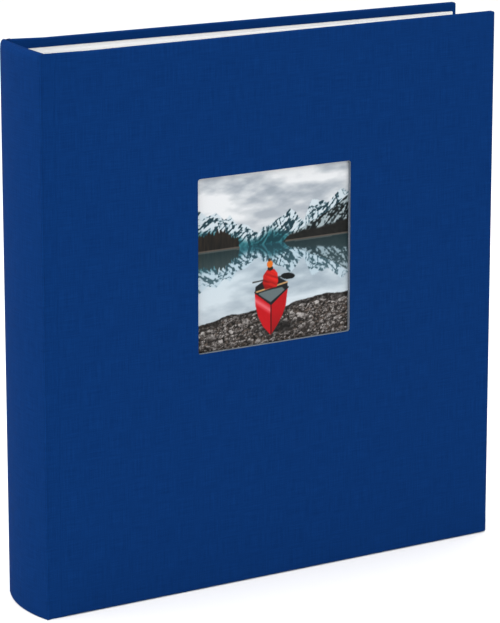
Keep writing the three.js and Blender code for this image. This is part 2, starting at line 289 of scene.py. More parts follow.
LINEN = linen()
GREY_BOARD = grey_board()
ENDPAPER = paper("endpaper", (0.62, 0.61, 0.585))
LEAF_CARD = paper("leaf_card", (0.60, 0.605, 0.61))
BACKING = paper("backing_card", (0.68, 0.64, 0.56))
KRAFT = paper("kraft_paper", (0.34, 0.22, 0.11), 0.2)
GLASSINE = glassine()
PRINT = print_surface()
TAPE = woven("cotton_tape", (0.68, 0.65, 0.55), 0.5 * MM, 0.75)
GAUZE = woven("cotton_gauze", (0.72, 0.69, 0.60), 1.2 * MM, 0.45)
BAND = band_cloth()


# ------------------------ mesh building

def new_object(name, vertices, faces, material, smooth=True):
    mesh = bpy.data.meshes.new(name)
    mesh.from_pydata([tuple(v) for v in vertices], [], faces)
    mesh.validate()
    mesh.materials.append(material)
    obj = bpy.data.objects.new(name, mesh)
    bpy.context.collection.objects.link(obj)
    if smooth:
        mesh.polygons.foreach_set("use_smooth", [True] * len(mesh.polygons))
    return obj


def face_outwards(obj):
    bm = bmesh.new()
    bm.from_mesh(obj.data)
    bmesh.ops.recalc_face_normals(bm, faces=bm.faces)
    bm.to_mesh(obj.data)
    bm.free()


def sharpen(obj, degrees=35):
    """Smooth shading that stops at edges sharper than the angle."""
    for selected in bpy.context.selected_objects:
        selected.select_set(False)
    bpy.context.view_layer.objects.active = obj
    obj.select_set(True)
    bpy.ops.object.shade_smooth_by_angle(angle=math.radians(degrees))
    obj.select_set(False)


def store_cloth(obj, places):
    """Each vertex keeps its place on the flat cloth, in millimetres, for the weave."""
    attribute = obj.data.attributes.new("cloth_mm", "FLOAT_VECTOR", "POINT")
    flat = np.zeros((len(obj.data.vertices), 3), np.float32)
    flat[:, :2] = np.array(places) / MM
    attribute.data.foreach_set("vector", flat.ravel())


def ring_faces(rows, count, closed_rows):
    """Quads between successive closed rings of count points each."""
    faces = []
    for r in range(rows if closed_rows else rows - 1):
        a, b = r * count, (r + 1) % rows * count
        faces += [(a + i, a + (i + 1) % count, b + (i + 1) % count, b + i)
                  for i in range(count)]
    return faces


def grid_faces(rows, count):
    """Quads of an open grid with rows of count points each."""
    return [(r * count + c, r * count + c + 1, (r + 1) * count + c + 1, (r + 1) * count + c)
            for r in range(rows - 1) for c in range(count - 1)]


def even_steps(start, end, steps):
    return [start + (end - start) * k / steps for k in range(steps + 1)]


def tube_mesh(name, vertices, rows, count, material):
    """Rings of count points, joined and capped at both ends."""
    faces = ring_faces(rows, count, False)
    last = (rows - 1) * count
    faces += [tuple(range(count))[::-1], tuple(range(last, last + count))]
    obj = new_object(name, vertices, faces, material)
    face_outwards(obj)
    return obj


CORNER_STEPS = 5
SIDE_STEPS = 14
QUARTER_TURN = [math.pi / 2 * k / 5 for k in range(6)]
SHEET_STEPS = 8                           # stretches from the tail to the head of a leaf


def outline(rect, inset, radius):
    """Points round a rectangle with round corners, moved in by inset (out if negative)."""
    x0, x1, z0, z1 = rect
    x0, x1, z0, z1 = x0 + inset, x1 - inset, z0 + inset, z1 - inset
    r = max(radius - inset, 0.02 * MM)
    corners = [(x1 - r, z0 + r, -90), (x1 - r, z1 - r, 0), (x0 + r, z1 - r, 90),
               (x0 + r, z0 + r, 180)]
    arcs = []
    for cx, cz, start in corners:
        turn = [math.radians(start + 90 * i / CORNER_STEPS) for i in range(CORNER_STEPS + 1)]
        arcs.append([(cx + r * math.cos(a), cz + r * math.sin(a)) for a in turn])
    points = []
    for k, arc in enumerate(arcs):
        points += arc
        (ax, az), (bx, bz) = arc[-1], arcs[(k + 1) % 4][0]
        points += [(ax + (bx - ax) * i / SIDE_STEPS, az + (bz - az) * i / SIDE_STEPS)
                   for i in range(1, SIDE_STEPS)]
    return points


def ease(t):
    t = min(1.0, max(0.0, t))
    return t * t * (3 - 2 * t)


def blend_outline(a, b, t):
    return [(p[0] + (q[0] - p[0]) * t, p[1] + (q[1] - p[1]) * t) for p, q in zip(a, b)]


# ------------------------ covers

COVER_RECT = (0, COVER_W, 0, COVER_H)
COVER_CORNER = 1.1 * MM
EDGE_ROUND = 0.8 * MM
TURN_IN = 15 * MM
LIFT_DEPTH = 6 * MM                       # height of the head edge that lifts at the joint
FRONT_STAND, FRONT_REACH = 0.75 * MM, 2.5 * MM
BACK_STAND, BACK_REACH = 0.8 * MM, 11 * MM


def window_rect():
    """The window's opening, from the opening's box in the record, with a little clearance."""
    opening = frame["record"]["physics"]["openings"][0]["box_m"]
    clear = 0.5 * MM
    return (opening[0][0] - clear - JOINT_X, opening[1][0] + clear - JOINT_X,
            opening[0][2] - clear, opening[1][2] + clear)


WINDOW = window_rect()
WINDOW_ROUND = 1.5 * MM


def wrap_rows():
    """The cloth's outer skin from the face's edge to the cut end of the turn-in, then back
    along its inner skin. Each row: outline, depth below the face, outline on flat cloth."""
    r, t, c = EDGE_ROUND, COVER_T, CLOTH
    rows = []

    def row(inset, depth, unrolled):
        rows.append((outline(COVER_RECT, inset, COVER_CORNER), depth,
                     outline(COVER_RECT, unrolled, COVER_CORNER)))

    for a in QUARTER_TURN:
        row(r * (1 - math.sin(a)), r * (1 - math.cos(a)), r * (1 - a))
    for a in QUARTER_TURN:
        row(r * (1 - math.cos(a)), t - r * (1 - math.sin(a)), 2 * r - t - r * a)
    row(TURN_IN - 0.1 * MM, t, -t - TURN_IN)
    row(TURN_IN, t - 0.1 * MM, -t - TURN_IN)
    row(TURN_IN, t - c, -t - TURN_IN)
    row(c + 0.2 * MM, t - c, -t)
    row(c, t - c - 0.2 * MM, -t)
    row(c, c + 0.2 * MM, -c)
    row(c + 0.2 * MM, c, 0)
    return rows


def head_lift(x, z, stand, reach):
    """The head edge stands up a little where the cloth comes over from the joint."""
    if z < COVER_H - LIFT_DEPTH or x > reach:
        return 0.0
    return stand * (1 - ease(x / reach)) * ease((z - COVER_H + LIFT_DEPTH) / LIFT_DEPTH)


def cover_cloth(name, place, windowed, stand, reach):
    wrap = wrap_rows()
    rim = wrap[0][0]
    hole = outline(WINDOW, 0, WINDOW_ROUND)
    lip = outline(WINDOW, -0.15 * MM, WINDOW_ROUND)
    if not windowed:
        middle = (COVER_W / 3, COVER_W * 2 / 3, COVER_H / 3, COVER_H * 2 / 3)
        hole = lip = outline(middle, 0, WINDOW_ROUND)
    steps = [0.02, 0.06, 0.15, 0.3, 0.45, 0.6, 0.75, 0.88, 0.97]
    face = [blend_outline(lip, rim, t) for t in steps]
    rows = [(lip, 0.0, lip)] + [(f, 0.0, f) for f in face] + wrap + [
        (blend_outline(rim, lip, 0.5), CLOTH, blend_outline(rim, lip, 0.5))]
    if windowed:
        rows += [(hole, CLOTH, hole), (hole, 0.15 * MM, hole)]
    else:
        rows += [(hole, CLOTH, hole)]
    vertices = [place(x, depth, z + head_lift(x, z, stand, reach))
                for points, depth, _ in rows for x, z in points]
    flat = [p for _, _, points in rows for p in points]
    count = len(rim)
    if windowed:
        obj = new_object(name, vertices, ring_faces(len(rows), count, True), LINEN)
        face_outwards(obj)
    else:
        obj = tube_mesh(name, vertices, len(rows), count, LINEN)
    store_cloth(obj, flat)
    sharpen(obj)
    return obj


def pastedown(name, place):
    """Endpaper pasted inside a cover: it steps down where the turn-ins end."""
    margin = COVER_H - pastedown_hi.z
    rect = (0.2 * MM, pastedown_hi.x - JOINT_X, margin, COVER_H - margin)
    thick = pastedown_hi.y - pastedown_lo.y
    top = COVER_T + thick + 0.05 * MM
    sink = CLOTH * 0.8
    profile = [(0, COVER_T + 0.03 * MM), (0, top - 0.05 * MM), (0.05 * MM, top)]
    step = TURN_IN - margin
    profile += [(step - 0.8 * MM, top), (step - 0.2 * MM, top - 0.25 * sink),
                (step + 0.5 * MM, top - 0.8 * sink), (step + 1.5 * MM, top - sink)]
    profile += [(step + 20 * MM, top - sink), (step + 60 * MM, top - sink)]
    outlines = [(outline(rect, inset, 0.6 * MM), depth) for inset, depth in profile]
    vertices = [place(x, depth, z) for points, depth in outlines for x, z in points]
    obj = tube_mesh(name, vertices, len(outlines), len(outlines[0][0]), ENDPAPER)
    sharpen(obj)
    return obj


def finish_piece(obj, slot, body, *nodes):
    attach(obj, body)
    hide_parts(*nodes)
    return obj


finish_piece(cover_cloth("front_case_linen", on_front, True, FRONT_STAND, FRONT_REACH),
             "blue_linen", "front_cover", "front_cover_cloth")
finish_piece(cover_cloth("back_case_linen", on_back, False, BACK_STAND, BACK_REACH),
             "blue_linen", "back_cover", "back_cover_cloth")
finish_piece(pastedown("front_endpaper_paste", on_front),
             "endpaper", "front_cover", "front_pastedown")
finish_piece(pastedown("back_endpaper_paste", on_back),
             "endpaper", "back_cover", "back_pastedown")


# ------------------------ spine and joints

def circle_through(a, b, c):
    """Centre and radius of the circle through three points of the plan."""
    rows = np.array([[b[0] - a[0], b[1] - a[1]], [c[0] - a[0], c[1] - a[1]]]) * 2
    sums = [b[0] ** 2 + b[1] ** 2 - a[0] ** 2 - a[1] ** 2,
            c[0] ** 2 + c[1] ** 2 - a[0] ** 2 - a[1] ** 2]
    centre = np.linalg.solve(rows, sums)
    return centre, math.hypot(*(np.array(a) - centre))


def spine_outer_points():
    """Front corner, crown and back corner of the spine's cloth, from its vertices."""
    co = [v.co for v in frame["nodes"]["spine_cloth"].data.vertices]
    front = min(co, key=lambda p: p.y)
    crown = min(co, key=lambda p: p.x)
    back = max(co, key=lambda p: p.y)
    return [(p.x, p.y) for p in (front, crown, back)]


SPINE_POINTS = spine_outer_points()
SPINE_CENTRE, SPINE_R = circle_through(*SPINE_POINTS)


def spine_angles():
    angles = [math.atan2(y - SPINE_CENTRE[1], x - SPINE_CENTRE[0]) for x, y in SPINE_POINTS]
    return angles[0] % (2 * math.pi), angles[2] % (2 * math.pi)


SPINE_FROM, SPINE_TO = spine_angles()
SPINE_ARC = (SPINE_FROM - SPINE_TO) * SPINE_R
HEADCAP = 1.3 * MM                        # the spine's cloth stands past the boards
TAILCAP = 0.25 * MM
SPINE_TOP = COVER_H + HEADCAP
CAP_REACH = 5 * MM                        # length of the head whose bulge is flattened
CAP_SHARE = 0.3                           # bulge left at the very top
ROLL_REACH = 4.5 * MM                     # length of the head that is rolled inwards
ROLL = 2 * MM
LIP_THINNING = 0.7

CORNER_A, CORNER_B = Vector(SPINE_POINTS[0]), Vector(SPINE_POINTS[2])
CHORD = (CORNER_B - CORNER_A).normalized()
OUTWARD = Vector((-CHORD.y, CHORD.x))


def spine_swell(z):
    """Bulge at a height as a share of the full bulge: the block's weight rounds the tail,
    and at the head the cloth is drawn in over the liner's end."""
    t = min(1.0, (SPINE_TOP - z) / CAP_REACH)
    cap = CAP_SHARE + (1 - CAP_SHARE) * math.sqrt(max(0.0, 1 - (1 - t) ** 2))
    return cap * (1 - 0.22 * z / COVER_H)


def spine_roll(z):
    """How far the cloth is drawn inwards over the liner's end at the head."""
    t = min(1.0, (SPINE_TOP - z) / ROLL_REACH)
    return ROLL * (1 - math.sqrt(max(0.0, 1 - (1 - t) ** 2)))


def on_spine(along, depth, z, swell=None):
    """along: arc length from the front corner; depth: inwards from the cloth's face."""
    if swell is None:
        swell = spine_swell(z)
        roll = spine_roll(z)
        depth = roll + depth * (1 - LIP_THINNING * roll / ROLL)
    angle = SPINE_FROM - along / SPINE_R
    out = Vector((math.cos(angle), math.sin(angle)))
    p = Vector(SPINE_CENTRE) + out * SPINE_R - CORNER_A
    normal = Vector((swell * out.dot(CHORD) / out.dot(OUTWARD), 1)).normalized()
    s = p.dot(CHORD) - depth * normal.x
    h = p.dot(OUTWARD) * swell - depth * normal.y
    q = CORNER_A + CHORD * s + OUTWARD * h
    return q.x, q.y, z


def quarter_round(radius):
    return [(radius * (1 - math.cos(a)), radius * (1 - math.sin(a))) for a in QUARTER_TURN]


def spine_linen():
    """Cloth over the liner: a curved slab with round long edges and turned head and tail."""
    thick = 1.9 * MM
    side_round, end_round = 0.75 * MM, 0.8 * MM
    bottom, top = -TAILCAP, SPINE_TOP
    edge_rows = quarter_round(side_round)  # (distance in from the long edges, depth)
    inner = [(0.1 * MM, thick - 0.2 * MM), (0.3 * MM, thick)]
    middle = [i / 40 for i in range(1, 40)]

    def ring(z_in, dip):
        """Section of the slab; near the ends its faces close in by dip."""
        points = [(edge + z_in, max(depth, dip)) for edge, depth in edge_rows]
        low = edge_rows[-1][0] + z_in
        points += [(low + (SPINE_ARC - 2 * low) * t, dip) for t in middle]
        points += [(SPINE_ARC - edge - z_in, max(depth, dip))
                   for edge, depth in reversed(edge_rows)]
        points += [(SPINE_ARC - edge - z_in, min(depth, thick - dip)) for edge, depth in inner]
        low = inner[-1][0] + z_in
        points += [(SPINE_ARC - low - (SPINE_ARC - 2 * low) * t, thick - dip) for t in middle]
        points += [(edge + z_in, min(depth, thick - dip)) for edge, depth in reversed(inner)]
        return points

    ends = quarter_round(end_round)
    levels = [(bottom + lift, dip) for lift, dip in ends]
    levels += [(bottom + 2 * MM + (top - CAP_REACH - bottom - 2 * MM) * i / 14, 0.0)
               for i in range(15)]
    levels += [(top - CAP_REACH * (1 - i / 10), 0.0) for i in range(1, 8)]
    levels += [(top - lift, dip) for lift, dip in reversed(ends)]
    rows = [(z, ring(0.15 * dip, dip)) for z, dip in levels]
    count = len(rows[0][1])
    vertices = [on_spine(along, depth, z) for z, points in rows for along, depth in points]
    start = SPINE_POINTS[0][0] - JOINT_X
    flat = [(start - along - depth * 0.5, z) for z, points in rows for along, depth in points]
    obj = tube_mesh("spine_linen", vertices, len(rows), count, LINEN)
    store_cloth(obj, flat)
    sharpen(obj, 50)
    return obj


def spine_plate(name, outer, thick, margin, z0, z1, material):
    """A curved plate inside the spine, following its bulge."""
    steps, heights = 30, 24
    outward = [(margin + (SPINE_ARC - 2 * margin) * i / steps, outer) for i in range(steps + 1)]
    section = outward + [(along, depth + thick) for along, depth in reversed(outward)]
    vertices = [on_spine(along, depth, z0 + (z1 - z0) * j / heights)
                for j in range(heights + 1) for along, depth in section]
    obj = tube_mesh(name, vertices, heights + 1, len(section), material)
    sharpen(obj, 50)
    return obj


def joint_linen(name, along_spine, joint_edge, inward, stand, node):
    """Cloth from a spine corner to a board's edge, sunk a little between the two. At the
    head it follows the spine's rolled end and comes down to the board."""
    a, b = Vector(on_spine(along_spine, 0, COVER_H / 2)), Vector((*joint_edge, 0))
    a.z = 0
    along = (b - a).normalized()
    length = (b - a).length
    tuck_spine, tuck_board = 0.2 * MM, 1.6 * MM
    lowest, sink, thick = 0.28 * MM, 0.35 * MM, 0.5 * MM
    steps, heights = 26, 16
    line = []
    for i in range(steps + 1):
        t = i / steps
        s = -tuck_spine * (1 - t) + (length + tuck_board) * t
        share = min(1.0, max(0.0, s / length))
        depth = lowest + sink * math.sin(math.pi * share) ** 0.8
        line.append((s, depth, share))
    section = line + [(s, depth + thick, share) for s, depth, share in reversed(line)]
    levels = [i / heights * (1 - ROLL_REACH / COVER_H) for i in range(heights + 1)]
    levels += [1 - (1 - t) ** 2 * ROLL_REACH / COVER_H for t in (0.3, 0.5, 0.7, 0.85, 0.95, 1)]
    vertices, flat = [], []
    for level in levels:
        for s, depth, share in section:
            top = COVER_H + (HEADCAP - JOINT_SETBACK) * (1 - share) + stand * share
            z = -TAILCAP * (1 - share) * (1 - level) + top * level
            corner = Vector(on_spine(along_spine, 0, min(z, SPINE_TOP)))
            corner.z = 0
            p = a + along * s + inward * depth + (corner - a) * (1 - share)
            vertices.append((p.x, p.y, z))
            flat.append((s - length, z))
    obj = tube_mesh(name, vertices, len(levels), len(section), LINEN)
    store_cloth(obj, flat)
    sharpen(obj, 50)
    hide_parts(node)
    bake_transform(obj)
    return obj


finish_piece(spine_linen(), "blue_linen", "spine", "spine_cloth")
BACK_IN = Vector((-math.sin(TAPER), -math.cos(TAPER), 0))
JOINT_SETBACK = 0.25 * MM                 # the joint's cloth below the spine's top
joint_linen("front_joint_linen", 0, (JOINT_X, FRONT_Y), Vector((0, 1, 0)), FRONT_STAND,
            "front_joint_cloth")
joint_linen("back_joint_linen", SPINE_ARC, (JOINT_X, BACK_Y), BACK_IN, BACK_STAND,
            "back_joint_cloth")
finish_piece(spine_plate("spine_liner_board", 0.5 * MM, 1.2 * MM, 0.6 * MM, 0.6 * MM,
                         SPINE_TOP - CAP_REACH, GREY_BOARD),
             "grey_board", "spine", "spine_liner")


# ------------------------ leaves

LEAVES = 4
LEAF = 0.38 * MM
FLYLEAF = 0.3 * MM
FILM = 0.04 * MM
SPREAD_END = 30 * MM                      # from here on a section's leaves lie parallel
LEAF_GAP = 0.26 * MM
CENTRE_GAP = 0.41 * MM
rng = np.random.default_rng(7)


def joint_place(name):
    x, y, _ = JOINTS[name]["pos_m"]
    return Vector((x, y, 0))


def hinge_frame(root, slant):
    """Local (along, across, z) of a leaf to the row frame."""
    c, s = math.cos(slant), math.sin(slant)
    return lambda u, v, z: (root.x + u * c - v * s, root.y + u * s + v * c, z)


def leaf_wave(amount):
    """A sheet's slight cockle: two long waves, seeded."""
    phase = rng.uniform(0, 2 * math.pi, 3)
    pull = rng.uniform(0.4, 1.0, 2) * amount

    def wave(u, z):
        grow = min(1.0, max(0.0, (u - 0.03) / 0.1))
        return grow * (pull[0] * math.sin(u * 21 + phase[0]) * math.cos(z * 17 + phase[1])
                       + pull[1] * math.sin(z * 31 + u * 9 + phase[2])) / 2
    return wave


def sheet_mesh(stations, heights, path):
    """Vertices and faces of a thin closed sheet. path(u) gives its middle and thickness."""
    vertices, faces = [], []
    rows, columns = len(heights), len(stations)
    for side in (-1, 1):
        for z in heights:
            for u in stations:
                middle, thick = path(u, z)
                vertices.append((u, middle + side * thick / 2, z))
    half = rows * columns
    for r in range(rows - 1):
        for c in range(columns - 1):
            i = r * columns + c
            faces.append((i, i + 1, i + columns + 1, i + columns))
            faces.append(tuple(half + k for k in (i, i + columns, i + columns + 1, i + 1)))
    rim = [c for c in range(columns)]
    rim += [r * columns + columns - 1 for r in range(1, rows)]
    rim += [(rows - 1) * columns + c for c in range(columns - 2, -1, -1)]
    rim += [r * columns for r in range(rows - 2, 0, -1)]
    for k, i in enumerate(rim):
        j = rim[(k + 1) % len(rim)]
        faces.append((i, half + i, half + j, j))
    return vertices, faces


def join_sheets(name, sheets, place, material):
    vertices, faces = [], []
    for sheet_vertices, sheet_faces in sheets:
        start = len(vertices)
        vertices += [place(*v) for v in sheet_vertices]
        faces += [tuple(start + i for i in face) for face in sheet_faces]
    obj = new_object(name, vertices, faces, material)
    face_outwards(obj)
    sharpen(obj)
    return obj


ROOT_STATIONS = [-1.2, -0.4, 0.4, 1.2, 2.0, 2.8, 3.6, 4.6, 7, 10, 14, 18, 22, 26, 30]
FAR_STATIONS = [0.15, 0.3, 0.45, 0.6, 0.75, 0.88, 0.96, 1.0]


def leaf_stations(length):
    first = [u * MM for u in ROOT_STATIONS]
    return first + [first[-1] + (length - first[-1]) * t for t in FAR_STATIONS]


def leaf_offset(i):
    """Middle of leaf i across its section, where the leaves lie parallel."""
    spare = CENTRE_GAP - LEAF_GAP
    return (i - 1.5) * (LEAF + LEAF_GAP) + (-spare / 2 if i < LEAVES / 2 else spare / 2)


def section_sheets(low, high, length):
    sheets = []
    for i in range(LEAVES):
        wave = leaf_wave(0.07 * MM)
        reach = length - abs(rng.normal(0, 0.18)) * MM
        z0, z1 = low + rng.uniform(0, 0.25) * MM, high - rng.uniform(0, 0.3) * MM
        heights = even_steps(z0, z1, SHEET_STEPS)

        def path(u, z, i=i, wave=wave):
            gather = ease((u - 0.4 * MM) / (4 * MM))
            spread = ease((u - 4 * MM) / (26 * MM))
            pitch = (0.075 + 0.175 * gather) * MM
            middle = (i - 1.5) * pitch * (1 - spread) + leaf_offset(i) * spread
            thick = (0.07 + 0.17 * gather) * MM * (1 - spread) + LEAF * spread
            return middle + wave(u, z), thick
        sheets.append(sheet_mesh(leaf_stations(reach), heights, path))
    return sheets


def glassine_sheets(low, high, length):
    sheets = []
    outer = leaf_offset(LEAVES - 1) + LEAF / 2 + 0.08 * MM
    for place in (-outer, (leaf_offset(0) + leaf_offset(1)) / 2, 0,
                  (leaf_offset(2) + leaf_offset(3)) / 2):
        reach = length - rng.uniform(0.8, 2.0) * MM
        z0, z1 = low + rng.uniform(0.5, 1.5) * MM, high - rng.uniform(0.8, 2.0) * MM
        wave = leaf_wave(0.03 * MM)
        stations = [SPREAD_END + (reach - SPREAD_END) * t for t in (0, *FAR_STATIONS)]
        heights = even_steps(z0, z1, SHEET_STEPS)
        sheets.append(sheet_mesh(stations, heights,
                                 lambda u, z, p=place, w=wave: (p + w(u, z), FILM)))
    return sheets


def bend_leaf(obj, frame_of):
    start, end = frame_of(0.2 * MM, 0, 0), frame_of(4.2 * MM, 0, 0)
    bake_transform(obj)
    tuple(start)
    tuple(end)


def make_sections():
    count = sum(1 for name in JOINTS if name.startswith("leaves_"))
    for k in range(count):
        number = f"{k + 1:02d}"
        lo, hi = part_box(f"section_{number}")
        root = joint_place(f"leaves_{number}_turn")
        slant = -TAPER * (k + 0.5) / count
        local = hinge_frame(root, slant)
        length = (hi.x - root.x) / math.cos(slant)
        obj = join_sheets(f"leaves_of_section_{number}", section_sheets(lo.z, hi.z, length),
                          local, LEAF_CARD)
        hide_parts(f"section_{number}", *(["leaf_hinge_folds"] if k == 0 else []))
        bend_leaf(obj, local)
        film = join_sheets(f"interleaves_{number}", glassine_sheets(lo.z, hi.z, length),
                           local, GLASSINE)
        finish_piece(film, "glassine", f"leaves_{number}", f"glassine_{number}")


def make_flyleaf(side, slant):
    lo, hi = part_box(f"{side}_flyleaf")
    root = joint_place(f"{side}_flyleaf_turn")
    local = hinge_frame(root, slant)
    length = (hi.x - root.x) / math.cos(slant)
    wave = leaf_wave(0.05 * MM)
    heights = even_steps(lo.z, hi.z, SHEET_STEPS)
    sheet = sheet_mesh(leaf_stations(length), heights, lambda u, z: (wave(u, z), FLYLEAF))
    obj = join_sheets(f"{side}_free_endpaper", [sheet], local, ENDPAPER)
    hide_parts(f"{side}_flyleaf")
    bend_leaf(obj, local)


def make_endpaper_joint(side, place):
    """Endpaper between a cover and the block: it lies on the block's shoulder, folds in the
    joint and comes back onto the board."""
    lo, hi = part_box(f"{side}_pastedown")
    on_block = COVER_T + 0.42 * MM
    on_board = COVER_T + 0.16 * MM
    shoulder, flat_run = 7.8 * MM, 8.8 * MM
    fold, fold_run = -1 * MM, 1.3 * MM
    board_end = 1.2 * MM
    line = [(shoulder - flat_run * i / 6, on_block) for i in range(7)]
    steps = 24
    for i in range(1, steps + 1):
        t = i / steps
        line.append((fold + fold_run * t, on_block + (on_board - on_block) * t))
    line.append((board_end, on_board))
    levels = even_steps(lo.z + 0.5 * MM, hi.z - 2 * MM, 12)
    vertices = [place(x, y, z) for z in levels for x, y in line]
    faces = grid_faces(len(levels), len(line))
    obj = new_object(f"{side}_endpaper_joint", vertices, faces, ENDPAPER)
    skin = obj.modifiers.new("thickness", "SOLIDIFY")
    skin.thickness = 0.12 * MM
    skin.offset = 0
    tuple(place(0, on_block, 0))
    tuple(place(0, on_board, 0))
    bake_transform(obj)


def make_band(node):
    """Head or tail band: a bead of wound thread along the block's back edge."""
    lo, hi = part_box(node)
    middle, radius = (lo.z + hi.z) / 2, (hi.z - lo.z) / 2
    margin, depth = 5 * MM, 4.75 * MM
    steps, around = 160, 12
    vertices = []
    for i in range(steps + 1):
        along = margin + (SPINE_ARC - 2 * margin) * i / steps
        fat = radius * (1 - 0.06 * (i % 2))
        for k in range(around):
            a = 2 * math.pi * k / around
            vertices.append(on_spine(along, depth + fat * math.cos(a),
                                     middle + fat * math.sin(a), swell=1.0))
    obj = tube_mesh(f"{node}_bead", vertices, steps + 1, around, BAND)
    finish_piece(obj, "band_cloth", "spine", node)


make_sections()
make_flyleaf("front", 0.0)
make_flyleaf("back", -TAPER)
make_endpaper_joint("front", on_front)
make_endpaper_joint("back", on_back)
make_band("head_band")
make_band("tail_band")


# ------------------------ the picture

HORIZON = 0.575


def lattice_noise(u, v, scale_u, scale_v, seed, octaves=4):
    """Smooth value noise in 0..1 on arrays of places."""
    total, weight, share = 0.0, 0.0, 1.0
    for octave in range(octaves):
        values = np.random.default_rng(seed + octave).random((64, 64))
        x, y = u * scale_u * 2 ** octave + 31, v * scale_v * 2 ** octave + 31
        i, j = np.floor(x).astype(int), np.floor(y).astype(int)
        fx, fy = x - i, y - j
        fx, fy = fx * fx * (3 - 2 * fx), fy * fy * (3 - 2 * fy)
        corner = [[values[(i + a) % 64, (j + b) % 64] for b in (0, 1)] for a in (0, 1)]
        low = corner[0][0] * (1 - fx) + corner[1][0] * fx
        high = corner[0][1] * (1 - fx) + corner[1][1] * fx
        total = total + share * (low * (1 - fy) + high * fy)
        weight += share
        share /= 2
    return total / weight


def shade(low, high, t):
    t = np.clip(t, 0, 1)[..., None]
    return np.array(low) * (1 - t) + np.array(high) * t


def cover_with(paint, color, mask):
    mask = np.clip(mask, 0, 1)[..., None]
    return paint * (1 - mask) + np.array(color) * mask


def soft_step(value, width):
    return np.clip(value / width + 0.5, 0, 1)


def polygon_mask(u, v, corners, width=0.004):
    """Soft mask of a convex polygon, corners anticlockwise."""
    inside = np.full(u.shape, 9.0)
    for (x0, y0), (x1, y1) in zip(corners, corners[1:] + corners[:1]):
        length = math.hypot(x1 - x0, y1 - y0)
        inside = np.minimum(inside, ((x1 - x0) * (v - y0) - (y1 - y0) * (u - x0)) / length)
    return soft_step(inside, width)


def oval_mask(u, v, place, size, width=0.12):
    r = np.hypot((u - place[0]) / size[0], (v - place[1]) / size[1])
    return soft_step(1 - r, width)


def line_mask(u, v, a, b, half):
    length = math.hypot(b[0] - a[0], b[1] - a[1])
    dx, dy = (b[0] - a[0]) / length, (b[1] - a[1]) / length
    t = np.clip((u - a[0]) * dx + (v - a[1]) * dy, 0, length)
    d = np.hypot(u - a[0] - dx * t, v - a[1] - dy * t)
    return soft_step(half - d, 0.004)


def ridge(u, points, rough, seed, scale=9):
    base = np.interp(u, [p[0] for p in points], [p[1] for p in points])
    return base + rough * (lattice_noise(u, u * 0, scale, 1, seed, 5) - 0.5)


def rock_light(u, v, scale, lean, seed):
    """Light on broken rock faces: creased noise lit from the upper left."""
    def height(a, b):
        bend = 0.08 * lattice_noise(a, b, 7, 7, seed + 9, 2)
        return sum(share * (1 - np.abs(2 * lattice_noise(a + lean * b + bend, 0.6 * b + bend,
                                                         scale * zoom, scale * zoom,
                                                         seed + zoom, 2) - 1))
                   for zoom, share in ((1, 1.0), (2, 0.5), (4, 0.25)))
    step = 0.004
    return (height(u + step, v - step) - height(u - step, v + step)) / (step * scale)


def paint_sky(u, v):
    veil = lattice_noise(u * 0.8 - v * 0.5, v + u * 0.25, 2.6, 7, 3, 5)
    puffs = lattice_noise(u - v * 0.3, v * 1.2, 9, 20, 7, 4)
    tone = 1.9 * (veil - 0.5) + 1.3 * (puffs - 0.5) + 0.66
    return shade((0.62, 0.66, 0.70), (0.93, 0.94, 0.95), tone)


def paint_far_mountains(u, v, paint):
    far = ridge(u, [(-0.1, 0.79), (0.01, 0.83), (0.07, 0.775), (0.13, 0.80), (0.18, 0.75),
                    (0.22, 0.765), (0.27, 0.70), (0.33, 0.69), (0.40, 0.645), (0.46, 0.67),
                    (0.53, 0.715), (0.62, 0.745), (0.70, 0.69), (0.76, 0.785), (0.86, 0.775),
                    (0.95, 0.84), (1.1, 0.79)], 0.05, 11, 16)
    height = np.clip((v - HORIZON) / (far - HORIZON + 1e-6), 0, 1)
    light = rock_light(u, v, 13, 0.5, 101) + 0.6 * rock_light(u, v, 30, -0.8, 121)
    grain = lattice_noise(u - v * 1.2, v + u * 0.3, 90, 60, 31, 3)
    rock = shade((0.10, 0.22, 0.26), (0.46, 0.62, 0.67), 1.8 * grain - 0.4 + 0.3 * light)
    snow = soft_step(0.35 * light + 1.3 * (grain - 0.5) + 0.55 * height - 0.30, 0.9)
    face = cover_with(rock, (0.82, 0.87, 0.90), snow)
    paint = cover_with(paint, face, soft_step(far - v, 0.006))
    foot = ridge(u, [(-0.1, 0.70), (0.12, 0.69), (0.16, 0.66), (0.3, 0.625), (0.40, 0.615),
                     (0.48, 0.65), (0.60, 0.61), (1.1, 0.60)], 0.05, 41)
    wood = shade((0.05, 0.23, 0.27), (0.15, 0.43, 0.47),
                 lattice_noise(u, v, 30, 20, 43, 3) + 0.25 * light)
    return cover_with(paint, wood, 0.92 * soft_step(foot - v, 0.035))


